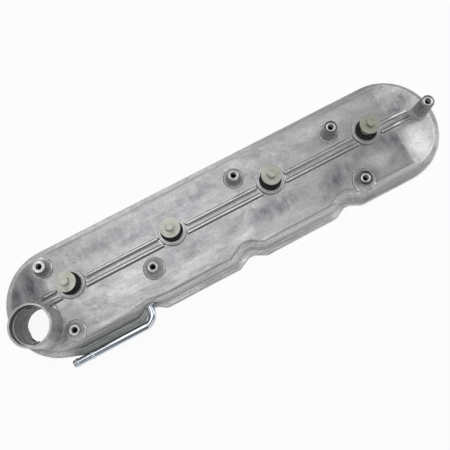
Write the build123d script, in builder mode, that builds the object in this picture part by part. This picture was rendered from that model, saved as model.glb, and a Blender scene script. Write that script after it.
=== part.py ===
from build123d import *
from math import acos, cos, radians, sin, sqrt
import os

os.makedirs("parts", exist_ok=True)

# Engine valve cover, a long die-cast lid held by four bolts down its middle.
# Millimetres. X runs along the cover, Y across it, Z up.
# The origin is midway between the two middle bolts, on the gasket's sealing plane.

# Rail that goes round the bottom edge
bolt_pitch = 111.76
bolt_x = [-1.5 * bolt_pitch, -0.5 * bolt_pitch, 0.5 * bolt_pitch, 1.5 * bolt_pitch]
rail_left = -242.7
rail_right = 249.0
rail_front = -64.0
rail_back = 48.3
gasket_proud = 1.0
rail_thickness = 6.0
rail_top = gasket_proud + rail_thickness
end_radius = (rail_back - rail_front) / 2
middle_y = (rail_back + rail_front) / 2
left_centre_x = rail_left + end_radius
right_centre_x = rail_right - end_radius
groove_inset = 3.0
groove_width = 3.6
groove_depth = 3.0
groove_inner = groove_inset + groove_width
bead_inset = 0.7

# Walls, top and inner space
lip = 5.8
plateau_z = 24.5
plateau_inset = 9.0
shoulder_radius = 5.0
skin = 3.2
cavity_inset = 9.5
cavity_draft = 3.1
cavity_round = 2.0
rail_round = 1.2

# Notches along the front rail, near halfway between the bolts: x, reach to the left and to the right
notch_offset = 4.5
notches = [
    (-bolt_pitch + notch_offset, 16.0, 12.5),
    (notch_offset, 16.0, 15.0),
    (bolt_pitch + notch_offset, 16.0, 16.0),
]
notch_depths = [6.2, 6.2, 6.2]
notch_flat = 3.5
notch_corner = 10.0
# At the top the notches are wider and lean left, and the first one is only a shallow dent
notch_depths_top = [1.2, 9.0, 9.0]
notch_growth = 2.0
notch_lean = -2.0

# Left of the first notch the rail and the wall's foot stand out under the breather tube
rail_step = 3.5
wall_step = 2.0
plateau_step = 0.3
recess_left = -206.0
recess_right = -116.0
recess_top_y = -53.3
recess_foot_y = -60.2
recess_reach = 20.0

# Sloping ends
right_crease_x = 194.5
left_crease_x = -189.0
slope_run = 50.0
slope_drop = 14.5
slope_reach = 14.0
slope_finish = 0.3
slope_ceiling = 70.0
# Y of each section through a slope, with how steeply the slope starts there
slope_sections = [(-75.0, 0.32), (-26.0, 0.30), (-10.0, 0.15), (10.0, 0.06), (60.0, 0.04)]

# Twin ribs along the bolt line
rib_back_y = -0.3
rib_front_y = -8.8
rib_half = 0.9
rib_foot = 2.4
rib_z = 27.7
bead_z = rib_z - 0.7
rib_trough_z = 25.6
rib_left = -207.0
rib_right = 217.0
rib_gap_radius = 16.6
rib_end_radius = 1.5
rib_end_z = rib_z - rib_end_radius

# Bolt towers, grommets and bolts
tower_radius = 14.8
tower_top = 28.0
tower_edge = 0.7
tower_foot = 6.0
tower_hole_radius = 7.5
grommet_radius = 11.4
grommet_bore = 5.98
grommet_seat_z = 10.0
grommet_lip_z = 28.6
grommet_groove = 1.0
grommet_edge = 0.8
thread_radius = 3.0
thread_point = 1.0
bolt_shoulder_radius = 5.9
bolt_edge = 0.6
bolt_tip_z = 0.5
bolt_shoulder_z = bolt_tip_z + 14.0
bolt_flange_z = bolt_shoulder_z + 29.0
bolt_flange_top_z = bolt_flange_z + 2.0
bolt_flange_radius = 10.2
ring_z = 31.2
ring_height = 1.4
ring_depth = 0.7
hex_across_flats = 8.0
hex_height = 5.6
hex_turn = 13.0
hex_bevel = 0.4
bolt_top_z = bolt_flange_top_z + hex_height
dish_radius = 2.3
dish_depth = 0.5

# Tapped coil bracket bosses: x, y, foot height, top height, top radius, foot radius
coil_bosses = [
    (-186.0, 27.0, plateau_z, 37.0, 6.3, 8.4),
    (-88.0, -25.4, plateau_z, 39.5, 5.6, 9.0),
    (-181.7, -43.6, plateau_z, 33.0, 5.6, 8.2),
    (23.8, 19.3, plateau_z, 37.5, 6.4, 8.2),
    (132.0, 15.8, plateau_z, 44.0, 6.7, 8.0),
    (230.6, -6.8, 12.5, 46.0, 6.7, 8.6),
    (139.8, -44.3, plateau_z, 33.5, 7.6, 10.0),
]
boss_flare = 2.4
boss_edge = 0.5
boss_root_z = 8.0
tap_radius = 2.5
tap_mouth_radius = 3.6
tap_floor_z = 25.5

# Oil filler neck
neck_x = -210.5
neck_y = -24.5
neck_top_z = 60.0
neck_edge = 0.7
neck_root_z = 5.0
neck_slope_z = 18.3
neck_slope_angle = 15.5
neck_radius = 20.6
neck_foot_radius = 21.6
neck_mouth_radius = 18.6
neck_mouth_depth = 9.0
neck_bore_radius = 17.4
# Heights above the sloping end, with how far the neck's foot stands out there
neck_skirt_rings = [(-4.0, 3.6), (0.0, 3.4), (1.0, 1.2), (3.6, 0.0)]
lug_z = 47.5
lug_height = 3.5
lug_reach = 2.4
lug_width = 7.0
lug_angle = 76.0
web_height = 8.0
web_points = [(-250.0, 30.0), (-227.6, 20.0), (-229.6, -40.0), (-250.0, -45.0)]

# Breather tube
breather_x = -110.0
breather_z = 14.5
breather_boss_y = -53.0
breather_boss_radius = 7.2
breather_boss_depth = 8.0
breather_seat_radius = 6.8
breather_seat_reach = 9.0
tube_radius = 3.75
tube_bore_radius = 2.75
tube_run_y = -71.2
tube_bend = 12.0
tube_end_x = -199.5
tube_inner_y = -43.6
tube_collar_radius = 6.2
tube_collar_thickness = 1.6
bead_centres = [tube_end_x + 4.2, tube_end_x + 20.0]
bead_half = 1.6
bead_flat = 0.6
bead_rise = 0.8
bead_sink = 0.3

# Baffle tray under the top, held by eight screws
tray_length = 322.0
tray_width = 25.0
tray_y = -29.5
tray_floor_z = 9.0
tray_rim_z = 19.0
tray_sheet = 1.0
tray_corner = 5.0
tray_fold = 1.6
pillar_radius = 4.0
drain_length = 22.0
drain_width = 5.0
screw_room = 0.3
screw_radius = 1.65
screw_grip = 9.0
screw_head_radius = 3.6
screw_head_height = 2.4
screw_head_round = 0.8
recess_length = 4.2
recess_width = 1.0
recess_depth = 1.2
screw_spacing_x = 100.0
screw_rows_y = [tray_y - 6.0, tray_y + 6.0]
screw_points = [((column - 1.5) * screw_spacing_x, y) for column in range(4) for y in screw_rows_y]


# Face of the breather tube's boss
breather_face = Plane(origin=(breather_x, breather_boss_y, breather_z), x_dir=(1, 0, 0), z_dir=(0, -1, 0))

# Plane that the neck's foot stands on
neck_slope = Plane(
    origin=(neck_x, neck_y, neck_slope_z),
    x_dir=(cos(radians(neck_slope_angle)), 0, sin(radians(neck_slope_angle))),
    z_dir=(-sin(radians(neck_slope_angle)), 0, cos(radians(neck_slope_angle))),
)


def outline_face(inset, depths=notch_depths, growth=0, shift=0, step=0):
    """Face of the rail outline moved inwards, with three front notches and a step left of the first."""
    front = rail_front + inset
    back = rail_back - inset
    radius = end_radius - inset
    # The end's arc leaves off where the line to the stepped corner touches it
    turn = acos(radius / (radius + step))
    start = (left_centre_x - radius * sin(turn), middle_y - radius * cos(turn))
    points = [start]
    first_front = front - step
    if step > 0:
        points.append((left_centre_x, first_front))
    for (x, left, right), depth in zip(notches, depths):
        points.append((x + shift - left - growth, first_front))
        points.append((x + shift - notch_flat, front + depth))
        points.append((x + shift + notch_flat, front + depth))
        points.append((x + shift + right + growth, front))
        first_front = front
    points.append((right_centre_x, front))
    with BuildSketch() as outline:
        with BuildLine():
            FilletPolyline(*points, radius=notch_corner)
            ThreePointArc((right_centre_x, front), (right_centre_x + radius, middle_y), (right_centre_x, back))
            Line((right_centre_x, back), (left_centre_x, back))
            ThreePointArc((left_centre_x, back), (left_centre_x - radius, middle_y), start)
        make_face()
    return outline.sketch


def slope_block(crease_x, side, lift):
    """Block above a sloping end, with a sharp crease at the front that fades to a soft roll."""
    base = plateau_z + lift
    low = base - slope_drop
    outer = crease_x + side * (slope_run + slope_reach)
    with BuildPart() as block:
        for y, first_drop in slope_sections:
            start = (crease_x, base)
            middle = (crease_x + side * slope_run * 0.4, base - slope_drop * (0.24 + first_drop / 2))
            finish = (crease_x + side * slope_run, low)
            with BuildSketch(Plane(origin=(0, y, 0), x_dir=(1, 0, 0), z_dir=(0, -1, 0))):
                with BuildLine():
                    Spline(start, middle, finish, tangents=((side, -first_drop), (side, -slope_finish)))
                    Polyline(
                        finish,
                        (outer, low - slope_finish * slope_reach),
                        (outer, slope_ceiling),
                        (crease_x, slope_ceiling),
                        start,
                    )
                make_face()
        loft()
    return block.part


# Blocks that cut the two sloping ends
right_slope = slope_block(right_crease_x, 1, 0)
left_slope = slope_block(left_crease_x, -1, 0)

# Inner space of the casting
with BuildPart() as cavity:
    with BuildSketch(Plane.XY):
        add(outline_face(cavity_inset))
    with BuildSketch(Plane.XY.offset(plateau_z - skin)):
        add(outline_face(cavity_inset + cavity_draft))
    loft(ruled=True)
    fillet(cavity.faces().sort_by(Axis.Z)[-1].edges(), radius=cavity_round)
    with Locations((0, 0, -skin)):
        add(right_slope, mode=Mode.SUBTRACT)
        add(left_slope, mode=Mode.SUBTRACT)
    # Straight web across the left end, seen down the filler neck
    with BuildSketch():
        Polygon(*web_points, align=None)
    extrude(amount=web_height, mode=Mode.SUBTRACT)

# Rib strip, from the left end to the right end
with BuildPart() as rib_strip:
    with BuildSketch(Plane.YZ.offset(rib_left)):
        with BuildLine():
            Polyline(
                (rib_back_y + rib_half, bead_z),
                (rib_back_y + rib_foot, plateau_z),
                (rib_back_y + rib_foot, boss_root_z),
                (rib_front_y - rib_foot, boss_root_z),
                (rib_front_y - rib_foot, plateau_z),
                (rib_front_y - rib_half, bead_z),
            )
            ThreePointArc(
                (rib_front_y - rib_half, bead_z),
                (rib_front_y, rib_z),
                (rib_front_y + rib_half, bead_z),
            )
            ThreePointArc(
                (rib_front_y + rib_half, bead_z),
                ((rib_back_y + rib_front_y) / 2, rib_trough_z),
                (rib_back_y - rib_half, bead_z),
            )
            ThreePointArc(
                (rib_back_y - rib_half, bead_z),
                (rib_back_y, rib_z),
                (rib_back_y + rib_half, bead_z),
            )
        make_face()
    extrude(amount=rib_right - rib_left)
    add(slope_block(right_crease_x, 1, rib_z - plateau_z), mode=Mode.SUBTRACT)
    add(slope_block(left_crease_x, -1, rib_z - plateau_z), mode=Mode.SUBTRACT)
    with Locations([(x, 0, 0) for x in bolt_x]):
        Cylinder(radius=rib_gap_radius, height=2 * slope_ceiling, mode=Mode.SUBTRACT)
    # Each rib ends in a small round knob where it stops short of a tower
    for y in (rib_back_y, rib_front_y):
        reach = sqrt(rib_gap_radius**2 - y**2)
        with Locations([(x + side * reach, y, rib_end_z) for x in bolt_x for side in (-1, 1)]):
            Sphere(radius=rib_end_radius)

# Walls and top, before the ends are cut to their slopes
with BuildPart() as wall_block:
    with BuildSketch(Plane.XY.offset(rail_top)):
        add(outline_face(lip, step=wall_step))
    with BuildSketch(Plane.XY.offset(plateau_z)):
        add(outline_face(plateau_inset, notch_depths_top, notch_growth, notch_lean, plateau_step))
    loft(ruled=True)
    fillet(wall_block.faces().sort_by(Axis.Z)[-1].edges(), radius=shoulder_radius)
    # Flatter wall behind the breather tube
    with BuildSketch(Plane.YZ.offset(recess_left)):
        Polygon(
            (recess_top_y, plateau_z),
            (recess_foot_y, rail_top),
            (recess_foot_y - recess_reach, rail_top),
            (recess_foot_y - recess_reach, plateau_z),
            align=None,
        )
    extrude(amount=recess_right - recess_left, mode=Mode.SUBTRACT)

# Flared foot of the filler neck, leaning with the slope that it stands on
with BuildPart() as neck_skirt:
    for height, reach in neck_skirt_rings:
        with BuildSketch(neck_slope.offset(height)):
            Ellipse((neck_foot_radius + reach) / cos(radians(neck_slope_angle)), neck_foot_radius + reach)
    loft()
    add(wall_block.part, mode=Mode.INTERSECT)

# Rail with a rounded upper edge
with BuildPart() as rail:
    with BuildSketch(Plane.XY.offset(gasket_proud)):
        add(outline_face(0, step=rail_step))
    extrude(amount=rail_thickness)
    fillet(rail.faces().sort_by(Axis.Z)[-1].edges(), radius=rail_round)

# Outer form of the casting, still solid
with BuildPart() as outer_form:
    add(wall_block.part)
    add(right_slope, mode=Mode.SUBTRACT)
    add(left_slope, mode=Mode.SUBTRACT)
    add(rail.part)

# Cover casting
with BuildPart() as cover_casting:
    add(outer_form.part)
    add(rib_strip.part)

    # Boss for the breather tube, in the first notch
    with BuildSketch(breather_face):
        Circle(breather_boss_radius)
    extrude(amount=-breather_boss_depth)

    # Space inside
    add(cavity.part, mode=Mode.SUBTRACT)

    # Room for the four bolt towers
    with BuildSketch(Plane.XY.offset(tower_foot)):
        with Locations([(x, 0) for x in bolt_x]):
            Circle(tower_radius)
    extrude(amount=slope_ceiling, mode=Mode.SUBTRACT)

    # Filler bore
    with BuildSketch(Plane.XY.offset(web_height)):
        with Locations((neck_x, neck_y)):
            Circle(neck_bore_radius)
    extrude(amount=slope_ceiling, mode=Mode.SUBTRACT)

    # Bore for the breather tube, and a flat seat for its collar
    with BuildSketch(breather_face):
        Circle(tube_radius)
    extrude(amount=-2 * breather_boss_depth, mode=Mode.SUBTRACT)
    with BuildSketch(breather_face):
        Circle(breather_seat_radius)
    extrude(amount=breather_seat_reach, mode=Mode.SUBTRACT)

    # Groove for the gasket, in the underside of the rail
    with BuildSketch(Plane.XY.offset(gasket_proud)):
        add(outline_face(groove_inset))
        add(outline_face(groove_inner), mode=Mode.SUBTRACT)
    extrude(amount=groove_depth, mode=Mode.SUBTRACT)

cover_casting.part.label = "cover_casting"
export_step(cover_casting.part, "parts/cover_casting.step")

# Towers of the casting round the four bolts, stepped inside to seat the grommets
for number, x in enumerate(bolt_x, start=1):
    with BuildPart() as bolt_tower:
        with BuildSketch(Plane.XY.offset(tower_foot)):
            with Locations((x, 0)):
                Circle(tower_radius)
        extrude(amount=tower_top - tower_foot)
        chamfer(bolt_tower.faces().sort_by(Axis.Z)[-1].edges(), length=tower_edge)
        with Locations((x, 0, tower_top)):
            CounterBoreHole(
                radius=tower_hole_radius,
                counter_bore_radius=grommet_radius,
                counter_bore_depth=tower_top - grommet_seat_z,
                depth=tower_top,
            )
    bolt_tower.part.label = f"bolt_tower_{number}"
    export_step(bolt_tower.part, f"parts/bolt_tower_{number}.step")

# Pillars of the casting that hold the baffle tray, each with a screw hole
for number, (x, y) in enumerate(screw_points, start=1):
    with BuildPart() as tray_pillar:
        with BuildSketch(Plane.XY.offset(tray_floor_z + tray_sheet)):
            with Locations((x, y)):
                Circle(pillar_radius)
        extrude(amount=plateau_z - skin - tray_floor_z - tray_sheet)
        with BuildSketch(Plane.XY.offset(tray_floor_z + tray_sheet)):
            with Locations((x, y)):
                Circle(screw_radius)
        extrude(amount=screw_grip, mode=Mode.SUBTRACT)
    tray_pillar.part.label = f"tray_pillar_{number}"
    export_step(tray_pillar.part, f"parts/tray_pillar_{number}.step")

# Conical coil bracket bosses of the casting, each with a flared foot and a tapped hole
for number, (x, y, foot_z, top_z, top_radius, foot_radius) in enumerate(coil_bosses, start=1):
    flare_radius = foot_radius + boss_flare
    with BuildPart() as coil_boss:
        with BuildSketch(Plane(origin=(x, y, 0), x_dir=(1, 0, 0), z_dir=(0, -1, 0))):
            with BuildLine():
                Polyline(
                    (foot_radius, foot_z + boss_flare),
                    (top_radius, top_z - boss_edge),
                    (top_radius - boss_edge, top_z),
                    (0, top_z),
                    (0, boss_root_z),
                    (flare_radius, boss_root_z),
                    (flare_radius, foot_z),
                )
                RadiusArc((flare_radius, foot_z), (foot_radius, foot_z + boss_flare), boss_flare)
            make_face()
        revolve(axis=Axis((x, y, 0), (0, 0, 1)))
        add(outer_form.part, mode=Mode.SUBTRACT)
        add(neck_skirt.part, mode=Mode.SUBTRACT)
        with Locations((x, y, top_z)):
            CounterSinkHole(radius=tap_radius, counter_sink_radius=tap_mouth_radius, depth=top_z - tap_floor_z)
    coil_boss.part.label = f"coil_boss_{number}"
    export_step(coil_boss.part, f"parts/coil_boss_{number}.step")

# Oil filler neck of the casting: a wider mouth, and two bayonet lugs for the cap
with BuildPart() as filler_neck:
    with BuildSketch(Plane(origin=(neck_x, neck_y, 0), x_dir=(1, 0, 0), z_dir=(0, -1, 0))):
        Polygon(
            (0, neck_root_z),
            (neck_foot_radius, neck_root_z),
            (neck_radius, neck_top_z - neck_edge),
            (neck_radius - neck_edge, neck_top_z),
            (0, neck_top_z),
            align=None,
        )
    revolve(axis=Axis((neck_x, neck_y, 0), (0, 0, 1)))
    add(neck_skirt.part)
    add(outer_form.part, mode=Mode.SUBTRACT)
    add(rib_strip.part, mode=Mode.SUBTRACT)
    with Locations((neck_x, neck_y, neck_top_z)):
        CounterBoreHole(
            radius=neck_bore_radius,
            counter_bore_radius=neck_mouth_radius,
            counter_bore_depth=neck_mouth_depth,
            depth=neck_top_z - neck_root_z,
        )
    with BuildSketch(Plane.XY.offset(lug_z)):
        with Locations((neck_x, neck_y)):
            with PolarLocations(radius=neck_bore_radius, count=2, start_angle=lug_angle):
                Rectangle(2 * lug_reach, lug_width)
    extrude(amount=lug_height)
filler_neck.part.label = "filler_neck"
export_step(filler_neck.part, "parts/filler_neck.step")

# Moulded rubber gasket pressed into the rail's groove
with BuildPart() as rail_gasket:
    with BuildSketch():
        add(outline_face(groove_inset + bead_inset))
        add(outline_face(groove_inner - bead_inset), mode=Mode.SUBTRACT)
    extrude(amount=gasket_proud)
    with BuildSketch(Plane.XY.offset(gasket_proud)):
        add(outline_face(groove_inset))
        add(outline_face(groove_inner), mode=Mode.SUBTRACT)
    extrude(amount=groove_depth)

rail_gasket.part.label = "rail_gasket"
export_step(rail_gasket.part, "parts/rail_gasket.step")

# Four captive bolts, standing as high as the surface under the cover holds them
for number, x in enumerate(bolt_x, start=1):
    with BuildPart() as bolt:
        with BuildSketch(Plane(origin=(x, 0, 0), x_dir=(1, 0, 0), z_dir=(0, -1, 0))):
            Polygon(
                (0, bolt_tip_z),
                (thread_radius - thread_point, bolt_tip_z),
                (thread_radius, bolt_tip_z + thread_point),
                (thread_radius, bolt_shoulder_z),
                (bolt_shoulder_radius - bolt_edge, bolt_shoulder_z),
                (bolt_shoulder_radius, bolt_shoulder_z + bolt_edge),
                (bolt_shoulder_radius, ring_z),
                (bolt_shoulder_radius - ring_depth, ring_z + ring_depth / 2),
                (bolt_shoulder_radius - ring_depth, ring_z + ring_height - ring_depth / 2),
                (bolt_shoulder_radius, ring_z + ring_height),
                (bolt_shoulder_radius, bolt_flange_z),
                (bolt_flange_radius, bolt_flange_z),
                (bolt_flange_radius, bolt_flange_top_z - bolt_edge),
                (bolt_flange_radius - bolt_edge, bolt_flange_top_z),
                (0, bolt_flange_top_z),
                align=None,
            )
        revolve(axis=Axis((x, 0, 0), (0, 0, 1)))
        with BuildSketch(Plane.XY.offset(bolt_flange_top_z)):
            with Locations((x, 0)):
                RegularPolygon(
                    radius=hex_across_flats / 2,
                    side_count=6,
                    major_radius=False,
                    rotation=hex_turn * number,
                )
        extrude(amount=hex_height)
        # Rounded hex corners, then the shallow dish in the top
        with BuildSketch(Plane(origin=(x, 0, 0), x_dir=(1, 0, 0), z_dir=(0, -1, 0))):
            Polygon(
                (hex_across_flats / 2 - hex_bevel, bolt_top_z),
                (hex_across_flats, bolt_top_z),
                (hex_across_flats, bolt_top_z - hex_across_flats / 4),
                align=None,
            )
        revolve(axis=Axis((x, 0, 0), (0, 0, 1)), mode=Mode.SUBTRACT)
        with BuildSketch(Plane.XY.offset(bolt_top_z)):
            with Locations((x, 0)):
                Circle(dish_radius)
        extrude(amount=-dish_depth, mode=Mode.SUBTRACT)
    bolt.part.label = f"bolt_{number}"
    export_step(bolt.part, f"parts/bolt_{number}.step")

# Rubber grommets that hold the bolts in the towers
for number, x in enumerate(bolt_x, start=1):
    with BuildPart() as bolt_grommet:
        with BuildSketch(Plane(origin=(x, 0, 0), x_dir=(1, 0, 0), z_dir=(0, -1, 0))):
            Polygon(
                (grommet_bore, grommet_seat_z),
                (grommet_radius, grommet_seat_z),
                (grommet_radius, tower_top - grommet_groove - grommet_edge),
                (grommet_radius - grommet_edge, tower_top - grommet_groove),
                (grommet_radius - 2 * grommet_groove, tower_top - grommet_groove),
                (grommet_radius - 2 * grommet_groove - grommet_edge, grommet_lip_z),
                (grommet_bore + grommet_edge, grommet_lip_z),
                (grommet_bore, grommet_lip_z - grommet_edge),
                align=None,
            )
        revolve(axis=Axis((x, 0, 0), (0, 0, 1)))
    bolt_grommet.part.label = f"bolt_grommet_{number}"
    export_step(bolt_grommet.part, f"parts/bolt_grommet_{number}.step")

# Plated steel breather tube: out of the wall, round a bend and along the front
with BuildPart() as breather_tube:
    with BuildLine(Plane.XY.offset(breather_z)) as tube_path:
        FilletPolyline(
            (breather_x, tube_inner_y),
            (breather_x, tube_run_y),
            (tube_end_x, tube_run_y),
            radius=tube_bend,
        )
    with BuildSketch(Plane(origin=(breather_x, tube_inner_y, breather_z), x_dir=(1, 0, 0), z_dir=(0, -1, 0))):
        Circle(tube_radius)
        Circle(tube_bore_radius, mode=Mode.SUBTRACT)
    sweep(path=tube_path.wires()[0])
    # Stop collar against the boss, and two hose beads near the open end
    with BuildSketch(breather_face):
        Circle(tube_collar_radius)
        Circle(tube_radius, mode=Mode.SUBTRACT)
    extrude(amount=tube_collar_thickness)
    with BuildSketch(Plane.XY.offset(breather_z)):
        for bead_x in bead_centres:
            with Locations((bead_x, tube_run_y)):
                Polygon(
                    (-bead_half, tube_radius - bead_sink),
                    (-bead_half, tube_radius),
                    (-bead_flat, tube_radius + bead_rise),
                    (bead_flat, tube_radius + bead_rise),
                    (bead_half, tube_radius),
                    (bead_half, tube_radius - bead_sink),
                    align=None,
                )
    revolve(axis=Axis((0, tube_run_y, breather_z), (1, 0, 0)))

breather_tube.part.label = "breather_tube"
export_step(breather_tube.part, "parts/breather_tube.step")

# Pressed sheet tray under the top that keeps splashed oil out of the breather
with BuildPart() as baffle_tray:
    with BuildSketch(Plane.XY.offset(tray_floor_z)):
        with Locations((0, tray_y)):
            RectangleRounded(tray_length, tray_width, tray_corner)
    extrude(amount=tray_rim_z - tray_floor_z)
    fillet(baffle_tray.faces().sort_by(Axis.Z)[0].edges(), radius=tray_fold)
    offset(amount=-tray_sheet, openings=baffle_tray.faces().sort_by(Axis.Z)[-1])
    # Screw holes, and drain slots between them
    with BuildSketch(Plane.XY.offset(tray_floor_z)):
        with Locations(screw_points):
            Circle(screw_radius + screw_room)
        with Locations((0, tray_y)):
            with GridLocations(screw_spacing_x, 1, 3, 1):
                SlotOverall(drain_length, drain_width)
    extrude(amount=2 * tray_sheet, mode=Mode.SUBTRACT)

baffle_tray.part.label = "baffle_tray"
export_step(baffle_tray.part, "parts/baffle_tray.step")

# Screws that hold the tray to its pillars
for number, (x, y) in enumerate(screw_points, start=1):
    with BuildPart() as baffle_screw:
        with Locations((x, y, tray_floor_z)):
            Cylinder(radius=screw_radius, height=screw_grip, align=(Align.CENTER, Align.CENTER, Align.MIN))
            Cylinder(
                radius=screw_head_radius,
                height=screw_head_height,
                align=(Align.CENTER, Align.CENTER, Align.MAX),
            )
        fillet(baffle_screw.faces().sort_by(Axis.Z)[0].edges(), radius=screw_head_round)
        with Locations((x, y, tray_floor_z - screw_head_height)):
            Box(recess_length, recess_width, 2 * recess_depth, mode=Mode.SUBTRACT)
            Box(recess_width, recess_length, 2 * recess_depth, mode=Mode.SUBTRACT)
    baffle_screw.part.label = f"baffle_screw_{number}"
    export_step(baffle_screw.part, f"parts/baffle_screw_{number}.step")
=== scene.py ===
import math

import bmesh
import bpy
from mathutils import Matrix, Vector


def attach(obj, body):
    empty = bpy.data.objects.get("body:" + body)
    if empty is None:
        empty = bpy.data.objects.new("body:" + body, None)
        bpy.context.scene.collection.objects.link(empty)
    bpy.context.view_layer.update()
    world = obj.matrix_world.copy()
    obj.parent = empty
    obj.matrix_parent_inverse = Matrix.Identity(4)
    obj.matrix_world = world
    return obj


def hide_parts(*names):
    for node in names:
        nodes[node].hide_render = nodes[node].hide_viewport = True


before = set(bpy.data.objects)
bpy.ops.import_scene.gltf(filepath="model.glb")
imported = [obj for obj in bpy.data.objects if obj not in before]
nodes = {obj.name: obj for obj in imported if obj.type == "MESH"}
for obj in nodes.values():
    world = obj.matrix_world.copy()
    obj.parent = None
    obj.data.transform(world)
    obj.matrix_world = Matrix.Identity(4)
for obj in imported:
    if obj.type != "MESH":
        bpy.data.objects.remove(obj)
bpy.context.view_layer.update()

# ---------------------------------------------------------------------------
# The cover casting. One high-pressure die casting in aluminium: rail, walls, top, twin ribs,
# bolt towers, coil bosses and filler neck. It is trimmed, shot-blasted, and then only the boss
# tops and the sealing face are machined.
# ---------------------------------------------------------------------------


def linear(code):
    """A colour written as sRGB hex, as linear red, green, blue and alpha."""
    channels = [int(code[i:i + 2], 16) / 255 for i in (1, 3, 5)]
    return tuple(c / 12.92 if c < 0.04045 else ((c + 0.055) / 1.055) ** 2.4 for c in channels) + (1.0,)


def feed(material, node, links):
    """Links sources to a node's inputs. A node given as a source means its first output."""
    for key, source in links.items():
        socket = source.outputs[0] if isinstance(source, bpy.types.Node) else source
        material.node_tree.links.new(socket, node.inputs[key])


def put(material, kind, settings=None, links=None):
    """Adds one node. Settings are its properties or input values, links feed its inputs."""
    node = material.node_tree.nodes.new(kind)
    for key, value in (settings or {}).items():
        if isinstance(key, str) and key in node.bl_rna.properties:
            setattr(node, key, value)
        else:
            node.inputs[key].default_value = value
    feed(material, node, links or {})
    return node


def new_material(name):
    """An empty node material with its shader and the place of each point on the object."""
    material = bpy.data.materials.new(name)
    material.use_nodes = True
    material.node_tree.nodes.clear()
    shader = put(material, "ShaderNodeBsdfPrincipled")
    put(material, "ShaderNodeOutputMaterial", links={"Surface": shader.outputs["BSDF"]})
    place = put(material, "ShaderNodeTexCoord").outputs["Object"]
    return material, shader, place


def wear(node_name, material):
    """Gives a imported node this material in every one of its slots."""
    for index in range(len(nodes[node_name].material_slots)):
        nodes[node_name].material_slots[index].material = material


# Tapped coil bosses: x, y, top height and top radius (mm), and how much shine each flat top
# keeps against the painted dark reflection
coil_bosses = [
    (-186.0, 27.0, 37.0, 6.3, 1.0),
    (-88.0, -25.4, 39.5, 5.6, 0.45),
    (-181.7, -43.6, 33.0, 5.6, 0.7),
    (23.8, 19.3, 37.5, 6.4, 0.35),
    (132.0, 15.8, 44.0, 6.7, 0.0),
    (230.6, -6.8, 46.0, 6.7, 0.20),
    (139.8, -44.3, 33.5, 7.6, 0.0),
]
neck_centre = (-210.5, -24.5)

# Die-cast aluminium, shot-blasted: a soft grey metal with no mirror image in it, cloudy from
# the die's release agent, with darker flow smears, a fine grain and brighter rubbed edges. Painted
# highlights and painted shade are laid over it too.
casting, shader, place = new_material("die-cast aluminium, shot-blasted")
split = put(casting, "ShaderNodeSeparateXYZ", links={0: place})
flat = put(casting, "ShaderNodeCombineXYZ", links={0: split.outputs["X"], 1: split.outputs["Y"]})

# Clouds about 40 mm across, drawn out along the way the metal ran, and 7 mm blotches in them
drawn_out = put(casting, "ShaderNodeMapping", {"Scale": (0.6, 1.0, 1.0)}, {"Vector": place})
clouds = put(
    casting, "ShaderNodeTexNoise",
    {"Scale": 24.0, "Detail": 8.0, "Roughness": 0.62, "Distortion": 0.3}, {"Vector": drawn_out},
).outputs["Fac"]
blotches = put(
    casting, "ShaderNodeTexNoise",
    {"Scale": 150.0, "Detail": 6.0, "Roughness": 0.68, "Distortion": 0.4}, {"Vector": drawn_out},
).outputs["Fac"]
# Blasting grain is about 0.3 mm; it is drawn 1.5 mm across so that it shows at all
grain = put(
    casting, "ShaderNodeTexNoise", {"Scale": 640.0, "Detail": 3.0, "Roughness": 0.7}, {"Vector": place},
).outputs["Fac"]
# Faint flow lines left where the die drew off the walls, half a millimetre apart, drawn 2 mm apart
drawn_lines = put(casting, "ShaderNodeMapping", {"Scale": (0.035, 1.0, 1.0)}, {"Vector": place})
streaks = put(
    casting, "ShaderNodeTexNoise",
    {"Scale": 460.0, "Detail": 4.0, "Roughness": 0.6, "Distortion": 0.3}, {"Vector": drawn_lines},
).outputs["Fac"]

# Dark smears of burnt release agent, and painted shade on the left end's slope and by the right
# end's crease and end boss: x, y, half length, half width (mm), turn (degrees), depth
smears_and_shade = [
    (118.0, -29.0, 24.0, 11.0, 20.0, 0.85),
    (96.0, -42.0, 9.0, 4.5, 10.0, 0.70),
    (60.0, -28.0, 22.0, 7.5, 8.0, 0.75),
    (34.0, -25.0, 17.0, 7.0, 12.0, 0.85),
    (142.0, -21.0, 19.0, 5.0, 14.0, 0.55),
    (184.0, -20.0, 17.0, 9.0, -15.0, 0.80),
    (148.0, -42.0, 9.0, 7.0, 0.0, 0.60),
    (-160.0, 36.0, 15.0, 5.0, 15.0, 0.35),
    (181.0, -38.0, 12.0, 4.0, 24.0, 0.45),
    (-50.0, -25.0, 24.0, 8.0, 0.0, 0.42),
    (-20.0, 24.0, 30.0, 9.0, 4.0, 0.42),
    (-92.0, 13.5, 22.0, 4.0, 3.0, 0.42),
    (-126.0, 23.0, 44.0, 11.0, 3.0, 0.50),
    (-162.0, 9.0, 11.0, 6.0, 0.0, 0.40),
    (3.0, -26.0, 12.0, 7.0, 10.0, 0.35),
    (-206.0, 15.0, 17.0, 13.0, 60.0, 0.95),
    (-224.0, 12.0, 16.0, 10.0, 70.0, 0.95),
    (-199.0, -1.0, 12.0, 7.0, 0.0, 0.65),
    (214.0, 9.0, 16.0, 9.0, 30.0, 0.90),
    (190.0, -36.0, 12.0, 5.0, 80.0, 0.60),
]
# They are feathered across the cover, in 6 mm strokes, as a wiped film is
wiped = put(
    casting, "ShaderNodeMapping", {"Rotation": (0.0, 0.0, 0.12), "Scale": (1.0, 0.38, 1.0)},
    {"Vector": place},
)
torn = put(
    casting, "ShaderNodeTexNoise",
    {"Scale": 170.0, "Detail": 4.0, "Roughness": 0.55, "Distortion": 0.25}, {"Vector": wiped},
).outputs["Fac"]


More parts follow.
